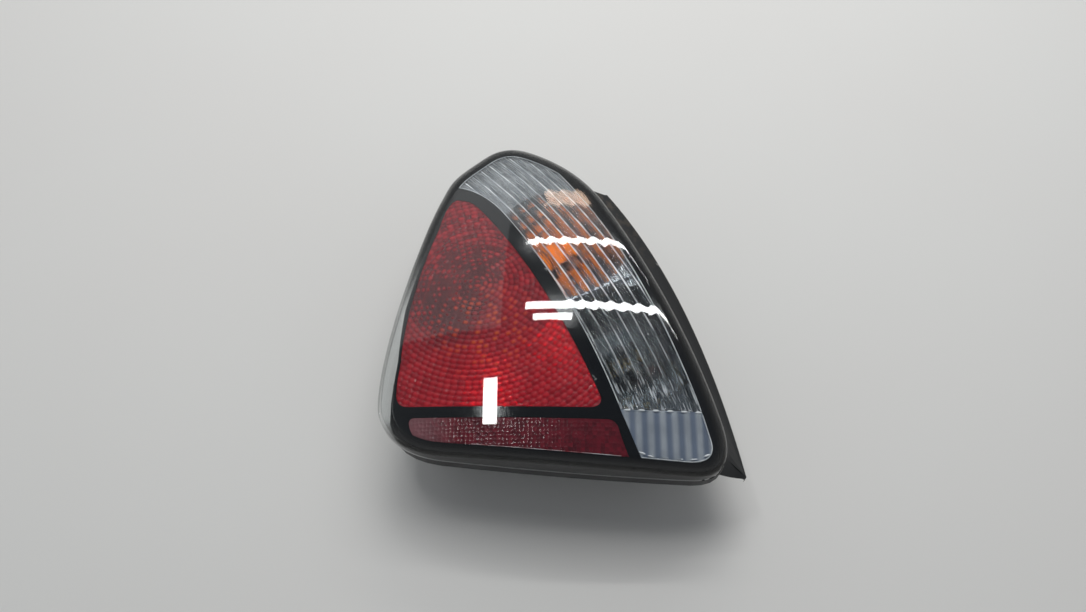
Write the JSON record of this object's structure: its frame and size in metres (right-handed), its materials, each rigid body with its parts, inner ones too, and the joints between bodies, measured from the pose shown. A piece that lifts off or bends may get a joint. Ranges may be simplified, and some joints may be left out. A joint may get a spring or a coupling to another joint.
{
  "type": "tail light cluster",
  "caption": "Left-hand tail light cluster with a red stop chamber, a clear fluted turn and reverse strip and a black housing with studs.",
  "frame": {"origin": "middle of the bounding box, on the surface that the stud ends stand on", "axes": "+Z out of the lens, +Y towards the pointed upper end, +X towards the inboard side flange"},
  "size_m": [0.3236, 0.3483, 0.1295],
  "materials": {
    "clear_lens": "gloss",
    "red_lens": "gloss",
    "dark_red_lens": "gloss",
    "fluted_lens": "gloss",
    "black_moulding": "satin",
    "black_bezel": "gloss",
    "metallised": "mirror",
    "sealant": "matte",
    "foam": "matte",
    "rubber_seal": "matte",
    "bulb_glass": "gloss",
    "amber_glass": "gloss",
    "brass": "satin",
    "tungsten": "satin",
    "holder_grey": "satin",
    "zinc_steel": "satin",
    "vent_cloth": "matte"
  },
  "bodies": {
    "root": {"outer_lens": "clear_lens", "lens_sealant": "sealant", "housing": "black_moulding", "body_gasket": "foam", "reflector": "metallised", "bezel": "black_bezel", "stop_lens": "red_lens", "reflex_reflector": "dark_red_lens", "flute_lens": "fluted_lens", "lower_cell_lens": "fluted_lens", "reflector_screws": "zinc_steel", "mounting_studs": "zinc_steel", "vent_cap": "rubber_seal", "vent_membrane": "vent_cloth", "stop_bulb_glass": "bulb_glass", "stop_bulb_cap": "brass", "stop_filament": "tungsten", "stop_socket": "holder_grey", "stop_socket_seal": "rubber_seal", "stop_terminals": "brass", "turn_bulb_glass": "amber_glass", "turn_bulb_cap": "brass", "turn_filament": "tungsten", "turn_socket": "holder_grey", "turn_socket_seal": "rubber_seal", "turn_terminals": "brass", "reverse_bulb_glass": "bulb_glass", "reverse_bulb_cap": "brass", "reverse_filament": "tungsten", "reverse_socket": "holder_grey", "reverse_socket_seal": "rubber_seal", "reverse_terminals": "brass"}
  },
  "joints": []
}
